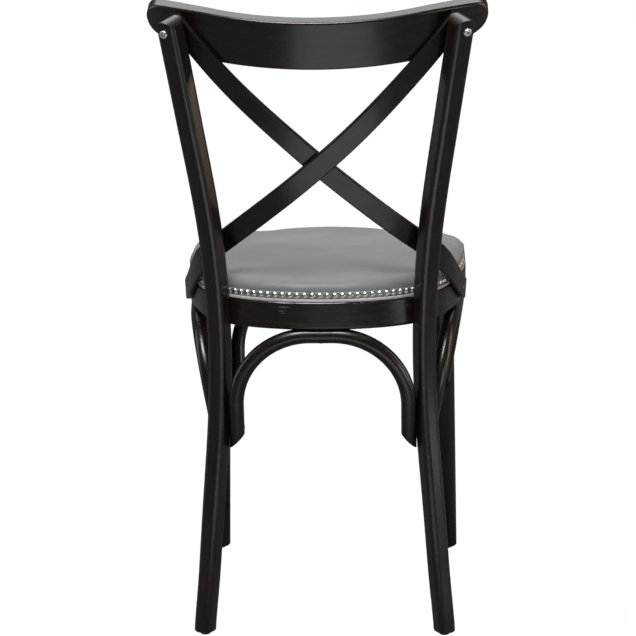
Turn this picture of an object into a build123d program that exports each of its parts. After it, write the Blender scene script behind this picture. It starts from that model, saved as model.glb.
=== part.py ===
from build123d import *
import os
from math import asin, atan2, cos, degrees, pi, radians, sin, sqrt, tan

# Cross-back bentwood dining chair with a padded leather seat edged with nails.
# Millimetres and degrees. The sitter faces -Y, so +X is the sitter's left and +Y is the back.
# The pieces are laid out round the middle of the seat, and the finished chair is then moved
# so that its origin is under the middle of its bounding box, on the floor.

# Seat plan: tangent arcs from the middle of the back round to the middle of the front
seat_width = 400.0
seat_depth = 430.0
rear_radius = 235.0
rear_corner_radius = 145.0
side_radius = 620.0
side_turn = 72.0
front_corner_radius = 50.0
front_radius = 800.0

# Seat hoop
seat_height = 472.5
hoop_height = 38.5
hoop_thickness = 24.0
hoop_edge_radius = 4.0

# Padded seat
board_thickness = 12.0
cover_inset = 3.2
cover_thickness = 1.6
pad_height = 26.5
crown_power = 2.6
crown_shoulder = 0.5
crown_steps = (1.0, 0.985, 0.955, 0.9, 0.8, 0.62, 0.35)
welt_inset = 1.0
welt_height = 3.4
welt_edge_radius = 1.2

# Decorative nails
nail_pitch = 10.3
nail_head = 8.6
nail_head_height = 2.2
nail_rise = 7.8
nail_pin = 1.8
nail_pin_length = 11.0

# Rear posts: two straight runs joined by one long bend at the seat
post_top_size = 29.0
post_foot_size = 25.8
post_corner_radius = 8.0
post_angle = 43.3
post_notch = 1.5
post_face_angle = 33.5
back_rake = 16.9
rear_splay = 5.75
post_lean = 1.6
post_bend_height = 360.0
joint_height = 841.2
post_tip = 15.5
post_tip_radius = 18.0
foot_chamfer = 2.5
foot_waste = 10.0

# Crest rail, bent round the same tilted cylinder as the cross slats
rail_span = 445.0
rail_thickness = 19.5
rail_height = 66.5
rail_rise = 23.0
rail_nose_radius = 21.5
rail_nose_drop = 6.0
rail_top_flat = 130.0
rail_bottom_flat = 125.0
rail_edge_radius = 3.0

# Cross slats
slat_width = 29.0
slat_thickness = 7.0
slat_edge_radius = 2.0
slat_pitch_angle = 43.7
slat_drop = 3.0
slat_tip = 14.0
slat_leave = 140.0
slat_lap_half = 34.0
slat_lap_end = 118.0
slat_hoop_gap = 0.8
slat_end_angle = 80.0
slat_end_rise = 19.0
slat_end_fall = 0.42
slat_screw_back = 1.8
slat_screw_rise = 5.0
slat_settle = 0.4
slat_untwist = 0.7

# Front legs
leg_top_diameter = 34.0
leg_foot_diameter = 29.5
leg_angle = 137.0
leg_inset = 26.0
leg_splay_side = 1.1
leg_splay_front = 3.8
leg_lap_drop = 4.0
leg_screw_shares = (0.3, 0.68)

# Arched braces
rod_diameter = 21.0
rod_seat = 1.0
arch_end_height = 272.0
arch_end_slant = 45.0
rear_arch_crown = 15.0
front_arch_crown = 33.0
front_arch_gap = 0.9
side_arch_crown = 46.0
side_arch_angle = 82.3
arch_screw_rise = 18.0
side_arch_screw_rise = 32.0

# Seat cleats
cleat_length = 60.0
cleat_depth = 22.0
cleat_height = 24.0
cleat_screw_spread = 36.0
cleat_side_angle = 88.0
board_screw_share = 0.7

# Fasteners
bolt_diameter = 6.0
bolt_head = 11.0
bolt_head_height = 3.2
bolt_socket = 4.0
bolt_socket_depth = 2.0
bolt_tip_room = 1.0
insert_diameter = 10.0
insert_length = 13.0
washer_diameter = 16.0
washer_thickness = 1.6
washer_sink = 0.8
screw_diameter = 4.5
screw_head = 8.0
screw_head_height = 2.8
screw_bite = 14.0
head_edge_share = 0.4
slat_screw_diameter = 4.0
slat_screw_head = 7.0
slat_screw_head_height = 2.2
lap_dowel_diameter = 6.0
lap_dowel_length = 12.0

# Glides under the feet
glide_diameter = 14.0
glide_height = 3.5
glide_pin = 3.0
glide_pin_length = 14.0

# Clearances
wood_fit = 0.2
hole_fit = 0.15

# Derived seat levels
hoop_bottom = seat_height - hoop_height
hoop_middle = seat_height - hoop_height / 2
board_top = seat_height + board_thickness
skirt_bottom = seat_height + welt_height + wood_fit
board_inset = cover_inset + cover_thickness + wood_fit
slat_end_height = hoop_bottom + slat_end_rise
rod_radius = rod_diameter / 2
crown_z = hoop_bottom - rod_radius + rod_seat
UP = Vector(0, 0, 1)
SIDES = (("left", 1), ("right", -1))


# Seat plan


def plan_direction(angle):
    """Outward direction in plan, as an angle from +Y towards +X."""
    return Vector(sin(radians(angle)), cos(radians(angle)), 0)


def plan_arcs():
    """Arcs of the +X half of the seat plan: centre, radius, first and last angle."""
    half = seat_width / 2
    turn = sin(radians(side_turn))
    rear_turn = degrees(asin(
        (half - rear_corner_radius * turn - side_radius * (1 - turn))
        / (rear_radius - rear_corner_radius)))
    front_turn = 180 - degrees(asin(
        (half - front_corner_radius) / (front_radius - front_corner_radius)))
    rear = Vector(0, seat_depth / 2 - rear_radius, 0)
    corner = rear + plan_direction(rear_turn) * (rear_radius - rear_corner_radius)
    side = corner + plan_direction(side_turn) * (rear_corner_radius - side_radius)
    front = Vector(0, front_radius - seat_depth / 2, 0)
    front_corner = front + plan_direction(front_turn) * (front_radius - front_corner_radius)
    return [
        (rear, rear_radius, 0, rear_turn),
        (corner, rear_corner_radius, rear_turn, side_turn),
        (side, side_radius, side_turn, 90),
        (front_corner, front_corner_radius, 90, front_turn),
        (front, front_radius, front_turn, 180),
    ]


PLAN = plan_arcs()


def plan_point(angle, out=0.0, z=0.0):
    """Point on the +X half of the plan where its outward direction has this angle."""
    centre, radius = next((c, r) for c, r, first, last in PLAN if angle <= last)
    return centre + plan_direction(angle) * (radius + out) + UP * z


def plan_wire(inset=0.0, z=0.0, shrink=1.0):
    """Closed seat outline, drawn in by an inset and then shrunk about the seat's middle."""
    def at(arc, angle, side):
        centre, radius = arc[0], arc[1]
        p = centre + plan_direction(angle) * (radius - inset)
        return Vector(side * p.X * shrink, p.Y * shrink, z)

    def arc_between(arc, first, last, side):
        middle = (first + last) / 2
        return Edge.make_three_point_arc(at(arc, first, side), at(arc, middle, side), at(arc, last, side))

    rear, corner, side_arc, front_corner, front = PLAN
    edges = [arc_between(rear, -rear[3], rear[3], 1)]
    for side in (1, -1):
        for arc in (corner, side_arc):
            edges.append(arc_between(arc, arc[2], arc[3], side))
        edges.append(Edge.make_line(at(side_arc, 90, side), at(front_corner, 90, side)))
        edges.append(arc_between(front_corner, front_corner[2], front_corner[3], side))
    edges.append(arc_between(front, front[2], 360 - front[2], 1))
    return Wire.combine(edges)[0]


def plan_prism(inset, bottom, top):
    """Upright solid on the seat outline."""
    return extrude(Face(plan_wire(inset, bottom)), top - bottom, dir=UP)


def mirrored(shape):
    return mirror(shape, Plane.YZ)


# Fasteners: each lies on a plane whose origin is under the head and whose Z is the way it drives


def pin(plane, radius, start, end):
    """Round bar along a plane's Z."""
    return plane * Pos(0, 0, start) * Cylinder(
        radius, end - start, align=(Align.CENTER, Align.CENTER, Align.MIN))


def screw(plane, length, diameter, head, head_height):
    """Pan-headed screw or bolt with a hexagon socket."""
    cap = Pos(0, 0, -head_height) * Cylinder(
        head / 2, head_height, align=(Align.CENTER, Align.CENTER, Align.MIN))
    cap = fillet(cap.edges().sort_by(Axis.Z)[0], head_height * head_edge_share)
    socket_size = bolt_socket * head / bolt_head
    depth = bolt_socket_depth * head_height / bolt_head_height
    socket = Pos(0, 0, -head_height) * extrude(RegularPolygon(socket_size / 2, 6, major_radius=False), depth)
    return plane * (cap - socket) + pin(plane, diameter / 2, 0, length)


def screw_hole(plane, length, diameter, head, sink):
    """Hole for a screw whose head is sunk by some depth."""
    hole = pin(plane, diameter / 2 + hole_fit, -sink, length + hole_fit)
    return hole + pin(plane, head / 2 + hole_fit, -sink, 0)


def wood_screw(plane, length):
    return screw(plane, length, screw_diameter, screw_head, screw_head_height)


def wood_screw_hole(plane, length, sink):
    return screw_hole(plane, length, screw_diameter, screw_head, sink)


def insert(plane, start):
    """Threaded insert round a bolt."""
    end = start + insert_length
    return pin(plane, insert_diameter / 2, start, end) - pin(plane, bolt_diameter / 2 + hole_fit, start, end)


def insert_hole(plane, start):
    return pin(plane, insert_diameter / 2 + hole_fit, start, start + insert_length + hole_fit)


# Rear posts

post_out = plan_direction(post_face_angle)
post_across = Vector(post_out.Y, -post_out.X, 0)
post_station = plan_point(post_angle, (post_foot_size + post_top_size) / 4 - post_notch)
bend_half = post_bend_height / 2
bend_change = tan(radians(back_rake)) + tan(radians(rear_splay))
post_top = joint_height + 2 * post_tip


def post_axis(z):
    """Centre of the left post at a height."""
    rise = z - hoop_middle
    out = -bend_change * bend_half / 4
    if rise > bend_half:
        out += tan(radians(back_rake)) * rise
    else:
        out -= tan(radians(rear_splay)) * rise
        out += bend_change * max(rise + bend_half, 0) ** 2 / (4 * bend_half)
    return post_station + post_out * out - post_across * (tan(radians(post_lean)) * rise) + UP * z


def post_direction(z):
    return (post_axis(z + 0.5) - post_axis(z - 0.5)).normalized()


def post_size(z):
    return post_foot_size + (post_top_size - post_foot_size) * z / joint_height


def post_reach(z, direction):
    """How far the rounded square section reaches from the axis in a plan direction."""
    flat = post_size(z) / 2 - post_corner_radius
    spread = abs(direction.dot(post_out)) + abs(direction.dot(post_across))
    return flat * spread + post_corner_radius


def post_bar(grow=0.0):
    """The bent bar of the left post, before it is cut to its neighbours."""
    bend = [hoop_middle + bend_half * share for share in (-0.9, -0.6, -0.3, 0, 0.3, 0.6, 0.9)]
    lower_step = (bend[0] + foot_waste) / 4
    upper_step = (post_top - bend[-1]) / 3
    lower = [lower_step * i - foot_waste for i in range(4)]
    upper = [bend[-1] + upper_step * i for i in (1, 2, 3)]
    sections = []
    for z in lower + bend + upper:
        size = post_size(z) + 2 * grow
        plane = Plane(post_axis(z), x_dir=post_across, z_dir=post_direction(z))
        sections.append(plane * RectangleRounded(size, size, post_corner_radius + grow))
    return loft(sections)


# Frame of the joint at the top of the left post

joint_point = post_axis(joint_height)
joint_up = post_direction(joint_height)
joint_out = (post_out - joint_up * post_out.dot(joint_up)).normalized()
rail_face = joint_point - joint_out * (post_size(joint_height) / 2 + slat_thickness + 2 * wood_fit)
rail_radius = rail_face.X / joint_out.X
joint_turn = asin(joint_out.X)
back_tilt = atan2(-joint_out.Z, joint_out.Y)
back_up = Vector(0, sin(back_tilt), cos(back_tilt))
back_plane = Plane(rail_face - joint_out * rail_radius, x_dir=(1, 0, 0), z_dir=back_up)
bolt_plane = Plane(joint_point + joint_out * (post_size(joint_height) / 2), z_dir=-joint_out)
bolt_reach = post_size(joint_height) + slat_thickness + 2 * wood_fit
bolt_length = bolt_reach + insert_length


# Bolt from inside the hoop into the left post

hoop_bolt_out = plan_direction(post_angle)
washer_seat = hoop_thickness - washer_sink
hoop_bolt_head = plan_point(post_angle, -washer_seat - washer_thickness, hoop_middle)
hoop_bolt_plane = Plane(hoop_bolt_head, z_dir=hoop_bolt_out)
hoop_bolt_reach = washer_thickness + washer_seat + wood_fit
hoop_bolt_length = hoop_bolt_reach + insert_length


def notch_tool():
    """Space of the hoop and the padded seat that the posts are cut to."""
    return plan_prism(-wood_fit, hoop_bottom, board_top + pad_height)


def tip_cutter():
    """What the rounded tip of the left post loses."""
    centre = joint_point + joint_up * (post_tip - post_tip_radius)
    plane = Plane(centre, x_dir=joint_up.cross(joint_out), z_dir=joint_out)
    reach = 3 * post_top_size
    block = Box(reach, reach, reach, align=(Align.CENTER, Align.MIN, Align.CENTER))
    return plane * (block - Cylinder(post_tip_radius, reach))


def floor_cut(shape):
    """Cuts a leg off level, at the top of its glide, and eases the edge."""
    below = Pos(0, 0, glide_height) * Box(4 * seat_width, 4 * seat_depth, 100,
                                          align=(Align.CENTER, Align.CENTER, Align.MAX))
    shape = shape - below
    return chamfer(shape.faces().sort_by(Axis.Z)[0].edges(), foot_chamfer)


# Front legs

leg_top_point = plan_point(leg_angle, -leg_inset, hoop_bottom)


def leg_axis(z):
    drop = hoop_bottom - z
    shift = Vector(tan(radians(leg_splay_side)), -tan(radians(leg_splay_front)), 0)
    return leg_top_point + shift * drop - UP * drop


def leg_radius(z):
    return (leg_foot_diameter + (leg_top_diameter - leg_foot_diameter) * z / hoop_bottom) / 2


leg_out = plan_direction(leg_angle)
leg_lap_top = seat_height - leg_lap_drop


def front_leg():
    """Left front leg: a tapered round bar lapped against the inside of the hoop."""
    ends = [Plane(leg_axis(z)) * Circle(leg_radius(z)) for z in (-foot_waste, leg_lap_top)]
    leg = floor_cut(loft(ends, ruled=True))
    rebate = plan_prism(-seat_width / 4, hoop_bottom, board_top) \
        - plan_prism(hoop_thickness + wood_fit, hoop_bottom, board_top)
    return leg - rebate


def leg_screw_planes():
    """Screws that hold the leg's lap to the hoop, driven outwards."""
    planes = []
    for share in leg_screw_shares:
        z = hoop_bottom + hoop_height * share
        seat = plan_point(leg_angle, -hoop_thickness - wood_fit - screw_head_height, z)
        planes.append(Plane(seat, z_dir=leg_out))
    return planes


leg_screw_length = screw_head_height + wood_fit + screw_bite

# Arched braces


def arch_bar(end_a, end_b, crown, crown_half):
    """Round rod from one end up over a crown and down to the other, with slanted ends."""
    middle = (end_a + end_b) * 0.5
    along = (end_b - end_a).normalized()
    rise = crown - middle
    plane = Plane(middle, x_dir=along, z_dir=along.cross(rise))
    half = (end_b - end_a).length / 2
    height = plane.to_local_coords(crown).Y
    bend = half - crown_half
    tail = -2 * rod_diameter
    sides = []
    for s in (-1, 1):
        corner = Vector(s * (half - bend * (1 - cos(pi / 4))), height - bend * (1 - cos(pi / 4)))
        side = [
            Edge.make_line((s * half, tail), (s * half, height - bend)),
            Edge.make_three_point_arc((s * half, height - bend), corner, (s * crown_half, height)),
        ]
        sides.append(side)
    top = Edge.make_line((-crown_half, height), (crown_half, height))
    path = Wire.combine(sides[0] + [top] + sides[1])[0]
    start = Plane((-half, tail, 0), z_dir=(0, 1, 0))
    rod = sweep(start * Circle(rod_radius), path)
    rise_at_edge = rod_diameter * tan(radians(arch_end_slant))
    for s in (-1, 1):
        inner, outer = s * (half - rod_diameter), s * (half + rod_diameter)
        cut = Polyline((inner, rise_at_edge), (outer, -rise_at_edge),
                       (outer, 2 * tail), (inner, 2 * tail), close=True)
        rod -= extrude(make_face(cut), rod_diameter, both=True)
    return plane * rod


def level_cut(arch):
    """Flattens the crown where it seats under the hoop."""
    above = Pos(0, 0, hoop_bottom) * Box(2 * seat_width, 2 * seat_depth, 10 * rod_diameter,
                                         align=(Align.CENTER, Align.CENTER, Align.MIN))
    return arch - above


cross_screw_z = arch_end_height + arch_screw_rise
side_screw_z = arch_end_height + side_arch_screw_rise
inward = Vector(-1, 0, 0)


def at_height(point, z):
    return Vector(point.X, point.Y, z)




def beside_post(z, way):
    """Middle of a rod that stands against the post on one side."""
    return post_axis(z) + way * (post_reach(z, way) + rod_radius - rod_seat)


def beside_leg(z, way):
    return leg_axis(z) + way * (leg_radius(z) + rod_radius - rod_seat)


rear_end = beside_post(cross_screw_z, inward)
front_end = beside_leg(cross_screw_z, inward) + inward * (rod_seat + front_arch_gap)
side_way = (leg_axis(side_screw_z) - post_axis(side_screw_z)).normalized()
side_rear_end = beside_post(side_screw_z, side_way)
side_front_end = beside_leg(side_screw_z, -side_way)
rear_crown = plan_point(0, -hoop_thickness / 2, crown_z)
front_crown = plan_point(180, -hoop_thickness / 2, crown_z)
side_crown = plan_point(side_arch_angle, -hoop_thickness / 2, crown_z)


def cross_arch(end, crown, crown_half):
    a = at_height(end, arch_end_height)
    return arch_bar(a, Vector(-a.X, a.Y, a.Z), crown, crown_half)


def arch_end_screw(end, way):
    """Plane of a screw through an arch's end into its leg; the head is sunk flush."""
    return Plane(end - way * (rod_radius - screw_head_height), z_dir=way)


arch_screw_length = rod_diameter - screw_head_height - rod_seat + screw_bite


def crown_screw_plane(crown):
    return Plane(crown - UP * (rod_radius - screw_head_height), z_dir=UP)


# Crest rail


def crest_rail():
    """Bent rail: a ring sector cut to an outline with rounded noses."""
    top, bottom = rail_rise, rail_rise - rail_height
    nose = Vector(rail_span / 2 - rail_nose_radius, -rail_nose_drop)

    def tangent_arc(flat, level):
        """Arc that leaves a level line at its end and runs into the nose."""
        run, fall = nose.X - flat, abs(level - nose.Y)
        radius = (run ** 2 + fall ** 2 - rail_nose_radius ** 2) / (2 * (fall - rail_nose_radius))
        centre = Vector(flat, level - radius if level > nose.Y else level + radius)
        way = (nose - centre).normalized()
        middle = (way + Vector(0, 1 if level > nose.Y else -1)).normalized()
        return Vector(flat, level), centre + middle * radius, centre + way * radius

    upper, lower = tangent_arc(rail_top_flat, top), tangent_arc(rail_bottom_flat, bottom)
    tip = nose + Vector(rail_nose_radius, 0)
    edges = []
    for s in (1, -1):
        flip = [[(s * p.X, p.Y) for p in arc] for arc in (upper, lower)]
        edges.append(Edge.make_three_point_arc(*flip[0]))
        edges.append(Edge.make_three_point_arc(flip[0][2], (s * tip.X, tip.Y), flip[1][2]))
        edges.append(Edge.make_three_point_arc(*flip[1]))
    for flat, level in ((rail_top_flat, top), (rail_bottom_flat, bottom)):
        edges.append(Edge.make_line((-flat, level), (flat, level)))
    outline = Plane.XZ * Face(Wire.combine(edges)[0])
    slab = extrude(outline, 2 * rail_radius, dir=(0, 1, 0))
    ring = extrude(Circle(rail_radius) - Circle(rail_radius - rail_thickness), rail_height, both=True)
    rail = slab & ring
    rail = fillet(rail.edges(), rail_edge_radius)
    return back_plane * rail


# Cross slats


def smooth(share):
    """Ease from 0 to 1."""
    share = min(max(share, 0), 1)
    return share * share * (3 - 2 * share)


def lap_shift(u):
    """Share of the half-thickness step that one slat makes to pass the other."""
    return 1 - smooth((abs(u) - slat_lap_half) / (slat_lap_end - slat_lap_half))


def slat_stations(step):
    """Points and facing directions along the slat that falls from -X at the top to +X.

    The slat lies straight on the unrolled cylinder of the back and then wraps round the hoop.
    step is the way it moves to pass the other slat: 1 behind, -1 in front.
    """
    radius = rail_radius + wood_fit + slat_thickness / 2
    fall = tan(radians(slat_pitch_angle))
    start = -radius * joint_turn
    tip_run = slat_tip * cos(radians(slat_pitch_angle))
    lap_mid = (slat_lap_half + slat_lap_end) / 2
    runs = [start - tip_run, start, (start - slat_lap_end) / 2, -slat_lap_end, -lap_mid, -slat_lap_half, 0,
            slat_lap_half, lap_mid, slat_lap_end, slat_leave]
    stations = []
    for u in runs:
        r = radius + step * lap_shift(u) * (slat_thickness + wood_fit) / 2
        facing = Vector(sin(u / radius), cos(u / radius), 0)
        local = facing * r + UP * (-slat_drop - fall * (u - start))
        stations.append((back_plane.from_local_coords(local),
                         back_plane.from_local_coords(facing) - back_plane.origin))
    return stations


def wrap_points(leave, before):
    """Points from the post round the outside of the hoop to the slat's end, with their shares."""
    corner, corner_radius = PLAN[1][0], PLAN[1][1]
    first = degrees(atan2(leave.X - corner.X, leave.Y - corner.Y))
    leave_out = sqrt((leave.X - corner.X) ** 2 + (leave.Y - corner.Y) ** 2) - corner_radius
    out = slat_thickness / 2 + slat_hoop_gap
    angles = [first + (side_turn - first) * share for share in (0.3, 0.65, 1.0)]
    angles += [side_turn + (slat_end_angle - side_turn) * share for share in (0.35, 0.7, 1.0)]
    shares = [(angle - first) / (side_turn - first) for angle in angles]
    flat = [leave] + [plan_point(angle, leave_out + (out - leave_out) * smooth(share / slat_settle))
                      for angle, share in zip(angles, shares)]
    runs = [0.0]
    for a, b in zip(flat, flat[1:]):
        runs.append(runs[-1] + sqrt((b.X - a.X) ** 2 + (b.Y - a.Y) ** 2))
    length = runs[-1]
    step = leave - before
    fall = -step.Z / sqrt(step.X ** 2 + step.Y ** 2)
    points = []
    for point, run in zip(flat[1:], runs[1:]):
        t = run / length
        z = (2 * t ** 3 - 3 * t ** 2 + 1) * leave.Z - (t ** 3 - 2 * t ** 2 + t) * fall * length
        z += (3 * t ** 2 - 2 * t ** 3) * slat_end_height - (t ** 3 - t ** 2) * slat_end_fall * length
        points.append((at_height(point, z), t))
    return points


def slat_bar(step):
    """Flat band through sections along the back and round the hoop, untwisting as it goes."""
    stations = slat_stations(step)
    wrap = wrap_points(stations[-1][0], stations[-2][0])
    points = [point for point, facing in stations] + [point for point, share in wrap]
    ways = [points[min(i + 1, len(points) - 1)] - points[max(i - 1, 0)] for i in range(len(points))]
    facings = [facing for point, facing in stations]
    level = UP.cross(ways[len(stations) - 1]).normalized()
    cross = ways[len(stations) - 1].normalized().cross(level)
    roll = atan2(facings[-1].dot(cross), facings[-1].dot(level))
    for way, (point, share) in zip(ways[len(stations):], wrap):
        level = UP.cross(way).normalized()
        cross = way.normalized().cross(level)
        left = roll * (1 - smooth(share / slat_untwist))
        facings.append(level * cos(left) + cross * sin(left))
    sections = []
    for point, way, facing in zip(points, ways, facings):
        plane = Plane(point, x_dir=way.cross(facing), z_dir=way)
        sections.append(plane * RectangleRounded(slat_width, slat_thickness, slat_edge_radius))
    return loft(sections)


slat_screw_angle = slat_end_angle - slat_screw_back
slat_screw_out = slat_hoop_gap + slat_thickness - slat_screw_head_height
slat_screw_plane = Plane(plan_point(slat_screw_angle, slat_screw_out, slat_end_height + slat_screw_rise),
                         z_dir=-plan_direction(slat_screw_angle))
slat_screw_length = slat_screw_out + screw_bite
lap_fall = tan(radians(slat_pitch_angle)) * (rail_radius + wood_fit + slat_thickness / 2) * joint_turn
lap_point = back_plane.from_local_coords(
    Vector(0, rail_radius + wood_fit + slat_thickness / 2 - lap_dowel_length / 2, -slat_drop - lap_fall))
lap_plane = Plane(lap_point, z_dir=back_plane.y_dir)

# Padded seat


def crown_solid(inset, height):
    """Crown of the pad: a loft of seat outlines that shrink as they rise."""
    sections = []
    for shrink in crown_steps:
        z = board_top + height * (1 - shrink ** crown_power) ** crown_shoulder
        sections.append(Face(plan_wire(inset, z, shrink)))
    return loft(sections, ruled=True)


def nail_planes():
    """Planes round the skirt, each with Z pointing out at one nail."""
    wire = plan_wire(cover_inset, seat_height + nail_rise)
    count = round(wire.length / nail_pitch)
    planes = []
    for i in range(count):
        share = (i + 0.5) / count
        point, way = wire.position_at(share), wire.tangent_at(share)
        out = way.cross(UP)
        if out.dot(Vector(point.X, point.Y, 0)) < 0:
            out = -out
        planes.append(Plane(point, x_dir=UP, z_dir=out))
    return planes


def nail():
    """Domed nail on the XY plane, with its pin pointing down."""
    ball = (nail_head ** 2 / 4 + nail_head_height ** 2) / (2 * nail_head_height)
    dome = Pos(0, 0, nail_head_height - ball) * Sphere(ball)
    dome &= Cylinder(nail_head, nail_head_height, align=(Align.CENTER, Align.CENTER, Align.MIN))
    return dome + pin(Plane.XY, nail_pin / 2, -nail_pin_length, 0)


# Seat cleats


def cleat_plane(angle, side):
    """Plane at the hoop's inner face: Z points out, X runs along the hoop and Y is up."""
    point = plan_point(angle, -hoop_thickness - wood_fit, seat_height - cleat_height / 2)
    way = plan_direction(angle)
    return Plane((side * point.X, point.Y, point.Z), x_dir=UP.cross(Vector(side * way.X, way.Y, 0)),
                 z_dir=(side * way.X, way.Y, 0))


cleat_places = {
    "rear": cleat_plane(0, 1),
    "front": cleat_plane(180, 1),
    "left": cleat_plane(cleat_side_angle, 1),
    "right": cleat_plane(cleat_side_angle, -1),
}


def cleat(plane):
    block = plane * Box(cleat_length, cleat_height, 2 * cleat_depth)
    return block & plan_prism(hoop_thickness + wood_fit, hoop_bottom, seat_height)


def cleat_screw_planes(plane):
    """Two screws that drive outwards from the cleat into the hoop."""
    planes = []
    for s in (-1, 1):
        local = Vector(s * cleat_screw_spread / 2, 0, screw_head_height - cleat_depth)
        planes.append(Plane(plane.from_local_coords(local), z_dir=plane.z_dir))
    return planes


cleat_screw_length = cleat_depth - screw_head_height + screw_bite


def board_screw_plane(plane):
    """Screw that drives up through the cleat into the seat board."""
    local = Vector(0, screw_head_height - cleat_height / 2, -cleat_depth / 2)
    return Plane(plane.from_local_coords(local), z_dir=UP)


board_screw_length = cleat_height - screw_head_height + board_thickness * board_screw_share

# Glides


def glide(foot):
    plane = Plane((foot.X, foot.Y, 0))
    pad = pin(plane, glide_diameter / 2, 0, glide_height)
    pad = fillet(pad.edges().sort_by(Axis.Z)[0], glide_height / 3)
    return pad + pin(plane, glide_pin / 2, glide_height, glide_height + glide_pin_length)


def glide_hole(foot):
    plane = Plane((foot.X, foot.Y, 0))
    return pin(plane, glide_pin / 2 + hole_fit, 0, glide_height + glide_pin_length + hole_fit)


# Assembly: the left pieces are made first and mirrored

parts = {}

crest_bolt = screw(bolt_plane, bolt_length, bolt_diameter, bolt_head, bolt_head_height)
crest_bolt_hole = screw_hole(bolt_plane, bolt_length, bolt_diameter, bolt_head, bolt_head_height)
crest_insert_hole = insert_hole(bolt_plane, bolt_reach)
hoop_bolt_hole = pin(hoop_bolt_plane, bolt_diameter / 2 + hole_fit, 0, hoop_bolt_length + bolt_tip_room)
hoop_bolt_hole += pin(hoop_bolt_plane, washer_diameter / 2 + hole_fit, -bolt_head, washer_thickness)
hoop_insert_hole = pin(hoop_bolt_plane, insert_diameter / 2 + hole_fit,
                       hoop_bolt_reach - bolt_head_height, hoop_bolt_length + hole_fit)
rear_arch_screw = arch_end_screw(rear_end, -inward)
front_arch_screw = arch_end_screw(front_end, -inward)
side_rear_screw = arch_end_screw(side_rear_end, -side_way)
side_front_screw = arch_end_screw(side_front_end, side_way)


def arch_hole(plane):
    return wood_screw_hole(plane, arch_screw_length, rod_radius)


post = post_bar() - tip_cutter() - notch_tool()
post = floor_cut(post)
for cutter in (crest_bolt_hole, hoop_bolt_hole, hoop_insert_hole, glide_hole(post_axis(0)),
               arch_hole(rear_arch_screw), arch_hole(side_rear_screw)):
    post = post - cutter
leg = front_leg() - [arch_hole(front_arch_screw), arch_hole(side_front_screw), glide_hole(leg_axis(0))]
leg -= [wood_screw_hole(plane, leg_screw_length, leg_top_diameter) for plane in leg_screw_planes()]
for name, side in SIDES:
    parts["rear_post_" + name] = post if side > 0 else mirrored(post)
    parts["front_leg_" + name] = leg if side > 0 else mirrored(leg)

rail_holes = crest_insert_hole + pin(bolt_plane, bolt_diameter / 2 + hole_fit,
                                     bolt_reach, bolt_length + hole_fit)
parts["crest_rail"] = crest_rail() - [rail_holes, mirrored(rail_holes)]

slat_screw_cut = screw_hole(slat_screw_plane, slat_screw_length, slat_screw_diameter,
                            slat_screw_head, slat_thickness)
lap_hole = pin(lap_plane, lap_dowel_diameter / 2 + hole_fit, -hole_fit, lap_dowel_length + hole_fit)
rear_slat = slat_bar(1) - [mirrored(crest_bolt_hole), slat_screw_cut, lap_hole]
front_slat = slat_bar(-1) - [mirrored(crest_bolt_hole), slat_screw_cut, lap_hole]
parts["cross_slat_rear"] = rear_slat
parts["cross_slat_front"] = mirrored(front_slat)

hoop = plan_prism(0, hoop_bottom, seat_height) - plan_prism(hoop_thickness, hoop_bottom, seat_height)
hoop_rims = [edge for edge in hoop.edges() if abs(edge.center().Z - hoop_middle) > hoop_height / 4]
hoop = fillet(hoop_rims, hoop_edge_radius)
hoop_holes = [hoop_bolt_hole, slat_screw_cut] + [
    wood_screw_hole(plane, leg_screw_length, hoop_thickness) for plane in leg_screw_planes()]
hoop_holes.append(wood_screw_hole(crown_screw_plane(side_crown), arch_screw_length, rod_radius))
hoop_holes += [mirrored(hole) for hole in hoop_holes]
for crown in (rear_crown, front_crown):
    hoop_holes.append(wood_screw_hole(crown_screw_plane(crown), arch_screw_length, rod_radius))
for plane in cleat_places.values():
    hoop_holes += [wood_screw_hole(p, cleat_screw_length, cleat_depth) for p in cleat_screw_planes(plane)]
parts["seat_hoop"] = hoop - hoop_holes

fat_post = post_bar(wood_fit)
fat_leg_ends = [Plane(leg_axis(z)) * Circle(leg_radius(z) + wood_fit) for z in (-foot_waste, hoop_bottom)]
fat_leg = loft(fat_leg_ends, ruled=True)
for name, end, crown, crown_half, screw_plane, support in (
        ("rear_arch", rear_end, rear_crown, rear_arch_crown, rear_arch_screw, fat_post),
        ("front_arch", front_end, front_crown, front_arch_crown, front_arch_screw, fat_leg)):
    arch = level_cut(cross_arch(end, crown, crown_half))
    for cutter in (arch_hole(screw_plane), support):
        arch = arch - cutter - mirrored(cutter)
    parts[name] = arch - wood_screw_hole(crown_screw_plane(crown), arch_screw_length, rod_radius)
side_arch = level_cut(arch_bar(at_height(side_rear_end, arch_end_height),
                               at_height(side_front_end, arch_end_height), side_crown, side_arch_crown))
for cutter in (arch_hole(side_rear_screw), arch_hole(side_front_screw), fat_post, fat_leg,
               wood_screw_hole(crown_screw_plane(side_crown), arch_screw_length, rod_radius)):
    side_arch = side_arch - cutter
parts["side_arch_left"] = side_arch
parts["side_arch_right"] = mirrored(side_arch)

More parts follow.
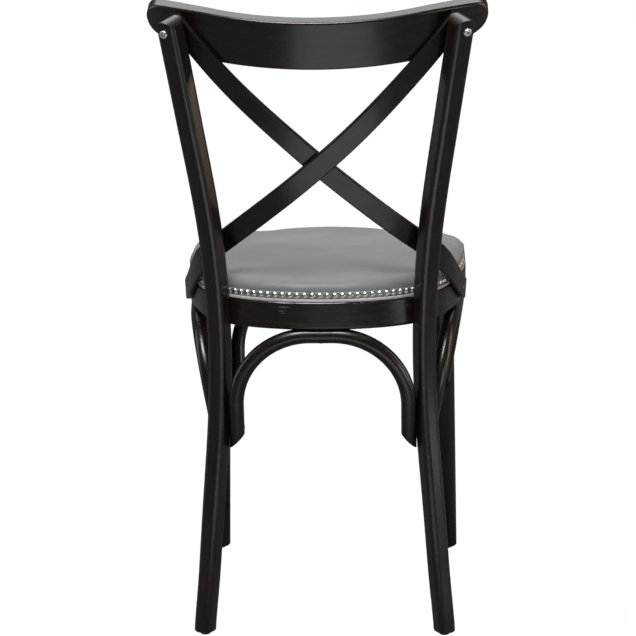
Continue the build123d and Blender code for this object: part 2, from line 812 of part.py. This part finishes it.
pins = [pin(plane, nail_pin / 2 + hole_fit, -nail_pin_length - hole_fit, nail_head)
        for plane in nail_planes()]
board_holes = [wood_screw_hole(board_screw_plane(plane), board_screw_length, cleat_height)
               for plane in cleat_places.values()]
parts["seat_board"] = plan_prism(board_inset, seat_height, board_top) - (pins + board_holes)
inner_inset = cover_inset + cover_thickness
parts["seat_foam"] = crown_solid(inner_inset + wood_fit, pad_height - cover_thickness - wood_fit)
skirt = plan_prism(cover_inset, skirt_bottom, board_top) - plan_prism(inner_inset, skirt_bottom, board_top)
crown_shell = crown_solid(cover_inset, pad_height) - crown_solid(inner_inset, pad_height - cover_thickness)
parts["seat_cover"] = (skirt - pins) + crown_shell
welt = plan_prism(welt_inset, seat_height, seat_height + welt_height) - plan_prism(
    board_inset - wood_fit, seat_height, seat_height + welt_height)
parts["seat_welt"] = fillet(welt.edges().group_by(Axis.Z)[-1], welt_edge_radius)
parts["nailheads"] = [plane * nail() for plane in nail_planes()]

for name, plane in cleat_places.items():
    holes = [wood_screw_hole(p, cleat_screw_length, cleat_depth) for p in cleat_screw_planes(plane)]
    holes.append(wood_screw_hole(board_screw_plane(plane), board_screw_length, cleat_height))
    parts["seat_cleat_" + name] = cleat(plane) - holes

for name, spot in (("rear", post_axis(0)), ("front", leg_axis(0))):
    for side_name, side in SIDES:
        parts["glide_" + name + "_" + side_name] = glide(Vector(side * spot.X, spot.Y, 0))


def both(shape):
    return [shape, mirrored(shape)]


parts["crest_bolts"] = both(crest_bolt)
parts["crest_inserts"] = both(insert(bolt_plane, bolt_reach))
parts["hoop_bolts"] = both(screw(hoop_bolt_plane, hoop_bolt_length, bolt_diameter,
                                 bolt_head, bolt_head_height))
washer = pin(hoop_bolt_plane, washer_diameter / 2, 0, washer_thickness) \
    - pin(hoop_bolt_plane, bolt_diameter / 2 + hole_fit, 0, washer_thickness)
parts["hoop_washers"] = both(washer)
parts["hoop_inserts"] = both(insert(hoop_bolt_plane, hoop_bolt_reach))
parts["slat_end_screws"] = both(screw(slat_screw_plane, slat_screw_length, slat_screw_diameter,
                                      slat_screw_head, slat_screw_head_height))
parts["slat_lap_dowel"] = pin(lap_plane, lap_dowel_diameter / 2, 0, lap_dowel_length)
parts["leg_screws"] = [s for plane in leg_screw_planes() for s in both(wood_screw(plane, leg_screw_length))]
parts["arch_end_screws"] = [
    s for plane in (rear_arch_screw, front_arch_screw, side_rear_screw, side_front_screw)
    for s in both(wood_screw(plane, arch_screw_length))]
parts["arch_crown_screws"] = [
    wood_screw(crown_screw_plane(crown), arch_screw_length) for crown in (rear_crown, front_crown)
] + both(wood_screw(crown_screw_plane(side_crown), arch_screw_length))
parts["cleat_screws"] = [
    wood_screw(p, cleat_screw_length) for plane in cleat_places.values() for p in cleat_screw_planes(plane)]
parts["board_screws"] = [
    wood_screw(board_screw_plane(plane), board_screw_length) for plane in cleat_places.values()]

# Origin under the middle of the bounding box, then one file for each piece
outermost = ("crest_rail", "rear_post_left", "seat_hoop", "front_leg_left", "front_arch")
boxes = [parts[name].bounding_box() for name in outermost]
middle_y = (min(box.min.Y for box in boxes) + max(box.max.Y for box in boxes)) / 2
os.makedirs("parts", exist_ok=True)
for name, piece in parts.items():
    group = Compound(children=piece if isinstance(piece, list) else [piece])
    export_step(Pos(0, -middle_y, 0) * group, os.path.join("parts", name + ".step"))
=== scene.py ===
import bpy
import math
import numpy as np
from mathutils import Matrix, Vector


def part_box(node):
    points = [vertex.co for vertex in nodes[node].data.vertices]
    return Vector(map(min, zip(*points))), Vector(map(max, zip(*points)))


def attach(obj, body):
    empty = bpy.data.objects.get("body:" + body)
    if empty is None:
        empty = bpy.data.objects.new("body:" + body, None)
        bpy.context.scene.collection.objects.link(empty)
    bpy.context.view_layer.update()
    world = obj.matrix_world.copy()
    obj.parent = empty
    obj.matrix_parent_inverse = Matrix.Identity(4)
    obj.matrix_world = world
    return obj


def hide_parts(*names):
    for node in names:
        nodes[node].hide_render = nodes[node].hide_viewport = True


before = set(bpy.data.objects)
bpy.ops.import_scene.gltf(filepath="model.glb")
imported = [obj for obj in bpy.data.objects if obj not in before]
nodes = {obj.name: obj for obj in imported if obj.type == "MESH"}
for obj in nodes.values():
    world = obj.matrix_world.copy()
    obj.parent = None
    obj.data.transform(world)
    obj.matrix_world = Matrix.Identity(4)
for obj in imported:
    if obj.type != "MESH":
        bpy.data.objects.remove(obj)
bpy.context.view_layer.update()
scene = bpy.context.scene
MM = 0.001


# Shader helpers

def new_material(name):
    mat = bpy.data.materials.new(name)
    mat.use_nodes = True
    tree = mat.node_tree
    return mat, tree, tree.nodes["Principled BSDF"]


def add(tree, kind, **inputs):
    node = tree.nodes.new(kind)
    for key, value in inputs.items():
        node.inputs[key.replace("_", " ")].default_value = value
    return node


def ramp(tree, source, stops):
    node = tree.nodes.new("ShaderNodeValToRGB")
    elements = node.color_ramp.elements
    while len(elements) < len(stops):
        elements.new(0.5)
    for element, (place, value) in zip(elements, stops):
        element.position = place
        element.color = value if len(value) == 4 else (*value, 1)
    tree.links.new(source, node.inputs["Fac"])
    return node


def grain_coords(tree, stretch):
    coords = tree.nodes.new("ShaderNodeTexCoord")
    mapping = tree.nodes.new("ShaderNodeMapping")
    mapping.inputs["Scale"].default_value = stretch
    tree.links.new(coords.outputs["Object"], mapping.inputs["Vector"])
    return mapping.outputs["Vector"]


def add_bump(tree, shader, height, strength, distance):
    bump = add(tree, "ShaderNodeBump", Strength=strength, Distance=distance)
    tree.links.new(height, bump.inputs["Height"])
    tree.links.new(bump.outputs["Normal"], shader.inputs["Normal"])


def black_wood(name, stretch, pores=0.0):
    """Black-stained beech under satin lacquer, its grain drawn out along one axis."""
    mat, tree, shader = new_material(name)
    grain = add(tree, "ShaderNodeTexNoise", Scale=1.0, Detail=7.0, Roughness=0.62, Distortion=0.25)
    tree.links.new(grain_coords(tree, stretch), grain.inputs["Vector"])
    colour = ramp(tree, grain.outputs["Fac"], [
        (0.30, (0.0032, 0.0020, 0.0014)),
        (0.55, (0.0065, 0.0038, 0.0024)),
        (0.75, (0.0130, 0.0074, 0.0044))])
    out = colour.outputs["Color"]
    if pores:
        fleck = add(tree, "ShaderNodeTexNoise", Scale=2.2, Detail=3.0, Roughness=0.5)
        tree.links.new(grain_coords(tree, stretch), fleck.inputs["Vector"])
        patch = add(tree, "ShaderNodeTexNoise", Scale=16.0, Detail=1.0)
        tree.links.new(grain_coords(tree, (1, 1, 1)), patch.inputs["Vector"])
        flecks = ramp(tree, fleck.outputs["Fac"], [(0.655, (0, 0, 0)), (0.69, (1, 1, 1))])
        patches = ramp(tree, patch.outputs["Fac"], [(0.52, (0, 0, 0)), (0.62, (1, 1, 1))])
        both = tree.nodes.new("ShaderNodeMath")
        both.operation = "MULTIPLY"
        tree.links.new(flecks.outputs["Color"], both.inputs[0])
        tree.links.new(patches.outputs["Color"], both.inputs[1])
        mix = tree.nodes.new("ShaderNodeMix")
        mix.data_type = "RGBA"
        mix.inputs["B"].default_value = (pores, pores * 0.97, pores * 0.93, 1)
        tree.links.new(both.outputs["Value"], mix.inputs["Factor"])
        tree.links.new(out, mix.inputs["A"])
        out = mix.outputs["Result"]
    tree.links.new(out, shader.inputs["Base Color"])
    rough = ramp(tree, grain.outputs["Fac"], [(0.3, (0.24, 0.24, 0.24)), (0.75, (0.34, 0.34, 0.34))])
    tree.links.new(rough.outputs["Color"], shader.inputs["Roughness"])
    shader.inputs["Specular IOR Level"].default_value = 0.38
    shader.inputs["Coat Weight"].default_value = 0.12
    shader.inputs["Coat Roughness"].default_value = 0.14
    add_bump(tree, shader, grain.outputs["Fac"], 0.10, 0.0006)
    return mat


def leather(name, dark, light, roughness):
    """Fine pebbled leather: small cells for the grain and broad cloudiness in the colour."""
    mat, tree, shader = new_material(name)
    where = grain_coords(tree, (1, 1, 1))
    cells = add(tree, "ShaderNodeTexVoronoi", Scale=620.0)
    cells.feature = "SMOOTH_F1"
    fine = add(tree, "ShaderNodeTexNoise", Scale=900.0, Detail=4.0)
    cloud = add(tree, "ShaderNodeTexNoise", Scale=14.0, Detail=5.0, Roughness=0.6)
    for node in (cells, fine, cloud):
        tree.links.new(where, node.inputs["Vector"])
    colour = ramp(tree, cloud.outputs["Fac"], [(0.32, dark), (0.70, light)])
    tree.links.new(colour.outputs["Color"], shader.inputs["Base Color"])
    relief = tree.nodes.new("ShaderNodeMath")
    relief.operation = "MULTIPLY_ADD"
    relief.inputs[1].default_value = 0.35
    tree.links.new(fine.outputs["Fac"], relief.inputs[0])
    tree.links.new(cells.outputs["Distance"], relief.inputs[2])
    rough = ramp(tree, fine.outputs["Fac"], [
        (0.35, (roughness - 0.05,) * 3), (0.65, (roughness + 0.07,) * 3)])
    tree.links.new(rough.outputs["Color"], shader.inputs["Roughness"])
    shader.inputs["Specular IOR Level"].default_value = 0.32
    shader.inputs["Sheen Weight"].default_value = 0.12
    shader.inputs["Sheen Roughness"].default_value = 0.4
    add_bump(tree, shader, relief.outputs["Value"], 0.28, 0.0005)
    return mat


def metal(name, colour, roughness, scale=300.0):
    """Plated metal with faint wear in its polish."""
    mat, tree, shader = new_material(name)
    wear = add(tree, "ShaderNodeTexNoise", Scale=scale, Detail=4.0)
    tree.links.new(grain_coords(tree, (1, 1, 1)), wear.inputs["Vector"])
    tint = ramp(tree, wear.outputs["Fac"], [
        (0.35, tuple(c * 0.72 for c in colour)), (0.65, colour)])
    tree.links.new(tint.outputs["Color"], shader.inputs["Base Color"])
    rough = ramp(tree, wear.outputs["Fac"], [
        (0.35, (roughness + 0.08,) * 3), (0.65, (roughness - 0.04,) * 3)])
    tree.links.new(rough.outputs["Color"], shader.inputs["Roughness"])
    shader.inputs["Metallic"].default_value = 1.0
    return mat


def plain(name, dark, light, roughness, scale, stretch=(1, 1, 1), relief=0.1):
    """A dull material with some mottling, for plastic, foam and plywood."""
    mat, tree, shader = new_material(name)
    mottle = add(tree, "ShaderNodeTexNoise", Scale=scale, Detail=5.0)
    tree.links.new(grain_coords(tree, stretch), mottle.inputs["Vector"])
    colour = ramp(tree, mottle.outputs["Fac"], [(0.35, dark), (0.65, light)])
    tree.links.new(colour.outputs["Color"], shader.inputs["Base Color"])
    shader.inputs["Roughness"].default_value = roughness
    add_bump(tree, shader, mottle.outputs["Fac"], relief, 0.0005)
    return mat


# Materials of the CAD pieces

upright = black_wood("black wood upright", (130, 130, 7))
crosswise = black_wood("black wood crosswise", (7, 90, 150))
hoop_wood = black_wood("black wood of the hoop", (16, 90, 240), pores=0.075)
slat_wood = black_wood("black wood of the slats", (24, 130, 24))
cover_leather = leather("grey leather", (0.106, 0.108, 0.110), (0.140, 0.143, 0.146), 0.50)
welt_leather = leather("grey leather welt", (0.24, 0.24, 0.238), (0.36, 0.36, 0.355), 0.5)
pewter = metal("pewter nails", (0.55, 0.54, 0.51), 0.30)
bright_steel = metal("bright steel", (0.85, 0.85, 0.84), 0.33)
zinc = metal("zinc plate", (0.50, 0.50, 0.49), 0.38)
glide_brown = plain("brown glide", (0.060, 0.030, 0.016), (0.110, 0.055, 0.030), 0.55, 260)
foam = plain("seat foam", (0.55, 0.48, 0.30), (0.72, 0.66, 0.46), 0.9, 700, relief=0.4)
plywood = plain("plywood", (0.30, 0.20, 0.11), (0.46, 0.33, 0.20), 0.7, 6, (4, 40, 120))

by_name = {
    "seat_hoop": hoop_wood, "seat_cover": cover_leather, "seat_welt": welt_leather, "seat_foam": foam,
    "seat_board": plywood, "nailheads": pewter, "crest_bolts": bright_steel, "slat_end_screws": zinc,
}
by_start = [
    ("glide", glide_brown), ("rear_post", upright), ("front_leg", upright), ("cross_slat", slat_wood),
    ("crest_rail", crosswise), ("rear_arch", crosswise), ("front_arch", crosswise), ("side_arch", upright),
    ("seat_cleat", crosswise), ("slat_lap_dowel", crosswise),
]
for name, obj in nodes.items():
    mat = by_name.get(name) or next((m for start, m in by_start if name.startswith(start)), zinc)
    obj.data.materials.clear()
    obj.data.materials.append(mat)


# Leather pad: rings of the cover's own outline, raised to a crown and drawn in at the nails

COUNT = 360
SKIRT_HEIGHT = 8.4 * MM
CROWN = 25.0 * MM
BULGE = 1.2 * MM
SEAT_HALF = 0.2
RIM_BAND = 0.5 * MM
OUTER_SHARE = 0.992
SAME_SIDE = 0.05
CORNER_ANGLE = 2.36
CORNER_WIDTH = 0.5
CORNER_DROP = 0.36
CORNER_FADE = 80
# Inset and height of the two rings on the skirt, in mm
SKIRT_RINGS = ((0.2, 0.0), (0.5, 5.0))
# Inset in mm and share of the crown's height of each ring above the skirt
CROWN_RINGS = (
    (-0.3, 0.10), (-1.0, 0.22), (-0.4, 0.36), (2.6, 0.49), (7.5, 0.60), (16, 0.70),
    (30, 0.785), (50, 0.865), (75, 0.925), (105, 0.968), (140, 0.99), (170, 1.0))
# Inset and height of the band under the nails, in mm, from its inner bottom edge round to its inner top edge
BAND_PROFILE = ((6.0, 0.1), (0.1, 0.1), (0.0, 1.0), (0.0, 7.6), (0.8, 9.2), (3.0, 10.6), (7.0, 11.2))

cover = nodes["seat_cover"]
points = np.array([cover.matrix_world @ v.co for v in cover.data.vertices])
low, high = points.min(axis=0), points.max(axis=0)
middle = np.array([(low[0] + high[0]) / 2, (low[1] + high[1]) / 2])
skirt_top = low[2] + SKIRT_HEIGHT
turn = np.linspace(-math.pi, math.pi, COUNT, endpoint=False)


def outline_radius():
    """Distance from the seat's middle to the cover's bottom edge in each direction of turn."""
    rim = points[points[:, 2] < low[2] + RIM_BAND]
    angles = np.arctan2(rim[:, 0] - middle[0], rim[:, 1] - middle[1])
    reach = np.hypot(rim[:, 0] - middle[0], rim[:, 1] - middle[1])
    farthest = []
    for angle in angles:
        near = np.abs(np.angle(np.exp(1j * (angles - angle)))) < SAME_SIDE
        farthest.append(reach[near].max())
    outer = reach > OUTER_SHARE * np.array(farthest)
    order = np.argsort(angles[outer])
    return np.interp(turn, angles[outer][order], reach[outer][order], period=2 * math.pi)


radius = outline_radius()


def ring_points(ring):
    """Points of one ring, given as distance from the middle and height in each direction."""
    return [(middle[0] + out * math.sin(angle), middle[1] + out * math.cos(angle), z)
            for (out, z), angle in zip(ring, turn)]


def strip(a, b):
    """Faces between rings number a and b."""
    faces = []
    for i in range(COUNT):
        j = (i + 1) % COUNT
        faces.append((a * COUNT + i, a * COUNT + j, b * COUNT + j, b * COUNT + i))
    return faces


def new_mesh(name, verts, faces):
    mesh = bpy.data.meshes.new(name)
    mesh.from_pydata(verts, [], faces)
    mesh.validate()
    mesh.update()
    return mesh


def front_corner(angle):
    """1 at the two front corners of the seat and 0 away from them."""
    gap = abs(abs(angle) - CORNER_ANGLE)
    return math.exp(-(gap / CORNER_WIDTH) ** 2)


def pad_rings():
    """Rings of the pad from the skirt's bottom edge, over the crown, to near the middle."""
    rings = [[(r - inset * MM, low[2] + rise * MM) for r in radius] for inset, rise in SKIRT_RINGS]
    for inset, rise in CROWN_RINGS:
        inward, outward = max(inset, 0), -min(inset, 0)
        shrink = 1 - inward * MM / SEAT_HALF
        ring = []
        for r, angle in zip(radius, turn):
            drop = 1 - CORNER_DROP * front_corner(angle) * math.exp(-inward / CORNER_FADE)
            ring.append((r * shrink + outward * BULGE, skirt_top + CROWN * rise * drop))
        rings.append(ring)
    return rings


def pad_mesh():
    """The closed pad: its rings, with a fan of faces at the top and another underneath."""
    rings = pad_rings()
    verts, faces = [], []
    for ring in rings:
        verts += ring_points(ring)
    for k in range(len(rings) - 1):
        faces += strip(k, k + 1)
    for k, z in ((len(rings) - 1, skirt_top + CROWN), (0, low[2])):
        verts.append((middle[0], middle[1], z))
        hub = len(verts) - 1
        for i in range(COUNT):
            j = (i + 1) % COUNT
            face = (k * COUNT + i, k * COUNT + j, hub)
            faces.append(face if k else face[::-1])
    return new_mesh("leather_pad", verts, faces)


pad = bpy.data.objects.new("leather_pad", pad_mesh())
scene.collection.objects.link(pad)
bpy.context.view_layer.objects.active = pad
pad.select_set(True)

VOXEL = 5 * MM
HELD_ABOVE_SKIRT = 1.5 * MM
SWELL_CAP = 1.6 * MM
SWELL_FRAMES = 20
SMOOTH_PASSES = 10


def swell(obj, cap):
    """Cloth under light pressure, held at the skirt, with each point's travel capped."""
    remesh = obj.modifiers.new("even mesh", "REMESH")
    remesh.mode = "VOXEL"
    remesh.voxel_size = VOXEL
    bpy.ops.object.modifier_apply(modifier=remesh.name)
    rest = np.array([v.co for v in obj.data.vertices])
    held = obj.vertex_groups.new(name="held")
    held_top = skirt_top + HELD_ABOVE_SKIRT
    held.add([i for i, p in enumerate(rest) if p[2] < held_top], 1.0, "REPLACE")
    cloth = obj.modifiers.new("swell", "CLOTH")
    cloth.settings.vertex_group_mass = "held"
    cloth.settings.use_pressure = True
    cloth.settings.uniform_pressure_force = 4.0
    cloth.settings.tension_stiffness = 40
    cloth.settings.compression_stiffness = 40
    cloth.settings.bending_stiffness = 4
    cloth.settings.effector_weights.gravity = 0
    for step in range(1, SWELL_FRAMES + 1):
        scene.frame_set(step)
    shaped = obj.evaluated_get(bpy.context.evaluated_depsgraph_get()).to_mesh()
    moved = np.array([v.co for v in shaped.vertices]) - rest
    obj.modifiers.remove(cloth)
    length = np.maximum(np.linalg.norm(moved, axis=1), 1e-9)
    moved *= np.minimum(1.0, cap / length)[:, None]
    for vertex, place in zip(obj.data.vertices, rest + moved):
        vertex.co = place
    scene.frame_set(1)


swell(pad, SWELL_CAP)
smooth = pad.modifiers.new("even out", "SMOOTH")
smooth.factor = 0.5
smooth.iterations = SMOOTH_PASSES
bpy.ops.object.modifier_apply(modifier=smooth.name)
finer = pad.modifiers.new("finer", "SUBSURF")
finer.levels = 1
finer.render_levels = 1
bpy.ops.object.modifier_apply(modifier=finer.name)


def skirt_mesh():
    """The cover's edge under the nails: an upright band that turns in under the pad's roll."""
    verts, faces = [], []
    for inset, rise in BAND_PROFILE:
        verts += ring_points([(r - inset * MM, low[2] + rise * MM) for r in radius])
    for k in range(len(BAND_PROFILE)):
        faces += strip((k + 1) % len(BAND_PROFILE), k)
    return new_mesh("leather_skirt", verts, faces)


skirt = bpy.data.objects.new("leather_skirt", skirt_mesh())
scene.collection.objects.link(skirt)
for piece in (pad, skirt):
    for polygon in piece.data.polygons:
        polygon.use_smooth = True
    piece.data.materials.append(cover_leather)
    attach(piece, "root")
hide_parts("seat_cover")


# Floor, background and lights

GLOSS_SHARE = 0.05
FLOOR_SEEN = 1.03
FLOOR_DIFFUSE = 0.10
FLOOR_CAMERA_SHARE = 0.99
FLOOR_HALF = 9
ROOM_LIGHT = 0.05


def seen_share(tree, camera):
    """Share of the pale background in what a ray sees: nearly all for the camera, a little for gloss."""
    path = tree.nodes.new("ShaderNodeLightPath")
    share = tree.nodes.new("ShaderNodeMath")
    share.operation = "MULTIPLY"
    share.inputs[1].default_value = camera
    tree.links.new(path.outputs["Is Camera Ray"], share.inputs[0])
    both = tree.nodes.new("ShaderNodeMath")
    both.operation = "MULTIPLY_ADD"
    both.inputs[1].default_value = GLOSS_SHARE
    tree.links.new(path.outputs["Is Glossy Ray"], both.inputs[0])
    tree.links.new(share.outputs["Value"], both.inputs[2])
    return both.outputs["Value"]


def white_for_camera(mat, seen, diffuse):
    """Plain and pale to the camera, a little of it to gloss, and a dull floor to the rest."""
    tree = mat.node_tree
    shader = tree.nodes["Principled BSDF"]
    shader.inputs["Base Color"].default_value = (diffuse, diffuse, diffuse, 1)
    shader.inputs["Roughness"].default_value = 0.9
    shader.inputs["Specular IOR Level"].default_value = 0.1
    glow = add(tree, "ShaderNodeEmission", Color=(1, 1, 1, 1), Strength=seen)
    mix = tree.nodes.new("ShaderNodeMixShader")
    tree.links.new(seen_share(tree, FLOOR_CAMERA_SHARE), mix.inputs["Fac"])
    tree.links.new(shader.outputs["BSDF"], mix.inputs[1])
    tree.links.new(glow.outputs["Emission"], mix.inputs[2])
    tree.links.new(mix.outputs["Shader"], tree.nodes["Material Output"].inputs["Surface"])


corners = [(x * FLOOR_HALF, y * FLOOR_HALF, 0) for x, y in ((-1, -1), (1, -1), (1, 1), (-1, 1))]
floor = bpy.data.objects.new("floor", new_mesh("floor", corners, [(0, 1, 2, 3)]))
scene.collection.objects.link(floor)
floor_mat = new_material("pale floor")[0]
white_for_camera(floor_mat, FLOOR_SEEN, FLOOR_DIFFUSE)
floor.data.materials.append(floor_mat)

world = bpy.data.worlds.new("studio")
scene.world = world
world.use_nodes = True
tree = world.node_tree
backdrop = tree.nodes["Background"]
backdrop.inputs["Color"].default_value = (1, 1, 1, 1)
backdrop.inputs["Strength"].default_value = 1.0
around = add(tree, "ShaderNodeBackground", Color=(1.0, 0.985, 0.965, 1), Strength=ROOM_LIGHT)
mix = tree.nodes.new("ShaderNodeMixShader")
tree.links.new(seen_share(tree, 1.0), mix.inputs["Fac"])
tree.links.new(around.outputs["Background"], mix.inputs[1])
tree.links.new(backdrop.outputs["Background"], mix.inputs[2])
tree.links.new(mix.outputs["Shader"], tree.nodes["World Output"].inputs["Surface"])


def softbox(name, place, target, size, power, colour=(1, 1, 1)):
    light = bpy.data.lights.new(name, "AREA")
    light.shape = "RECTANGLE"
    light.size, light.size_y = size
    light.energy = power
    light.color = colour
    obj = bpy.data.objects.new(name, light)
    scene.collection.objects.link(obj)
    obj.location = place
    obj.rotation_euler = (Vector(target) - Vector(place)).to_track_quat("-Z", "Y").to_euler()


softbox("key", (0.3, 1.5, 3.4), (0, 0, 0.5), (1.8, 1.4), 205)
softbox("floor card", (-0.15, 1.1, 0.02), (-0.15, 1.1, 1.0), (0.8, 1.0), 3.6)
softbox("low right", (-2.3, 1.2, 0.4), (0, 0.1, 0.35), (1.0, 0.7), 9)
softbox("high", (0.0, -2.0, 3.2), (0, 0.2, 0.8), (3.4, 1.6), 48)
softbox("left", (2.8, -0.4, 1.2), (0, 0, 0.5), (0.7, 2.4), 14)
softbox("right", (-2.8, -0.4, 1.2), (0, 0, 0.5), (0.7, 2.4), 24, (1.0, 0.80, 0.60))
softbox("front", (0.0, -3.0, 2.2), (0, 0, 0.5), (3.0, 1.2), 9)


# Camera at the photo's angle, with its place in metres and its focal length in pixels of the photo

PICTURE_PIXELS = 636
FOCAL_PIXELS = 2384
SENSOR = 36
CAMERA_SIDE = -0.1243
CAMERA_BEHIND_HOOP = 3.1092
CAMERA_HEIGHT = 1.1286
yaw, pitch, roll = math.radians(2.35), math.radians(12.28), math.radians(-0.68)
forward = Vector((math.sin(yaw) * math.cos(pitch), -math.cos(yaw) * math.cos(pitch), -math.sin(pitch)))
right = Vector((-math.cos(yaw), -math.sin(yaw), 0))
up = right.cross(forward)
camera_right = right * math.cos(roll) + up * math.sin(roll)
camera_up = up * math.cos(roll) - right * math.sin(roll)
camera_data = bpy.data.cameras.new("camera")
camera_data.sensor_width = SENSOR
camera_data.lens = FOCAL_PIXELS / PICTURE_PIXELS * SENSOR
camera = bpy.data.objects.new("camera", camera_data)
scene.collection.objects.link(camera)
hoop_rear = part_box("seat_hoop")[1][1]
place = Vector((CAMERA_SIDE, hoop_rear + CAMERA_BEHIND_HOOP, CAMERA_HEIGHT))
camera.matrix_world = Matrix((
    (camera_right.x, camera_up.x, -forward.x, place.x),
    (camera_right.y, camera_up.y, -forward.y, place.y),
    (camera_right.z, camera_up.z, -forward.z, place.z),
    (0, 0, 0, 1)))
scene.camera = camera
scene.view_settings.view_transform = "Standard"
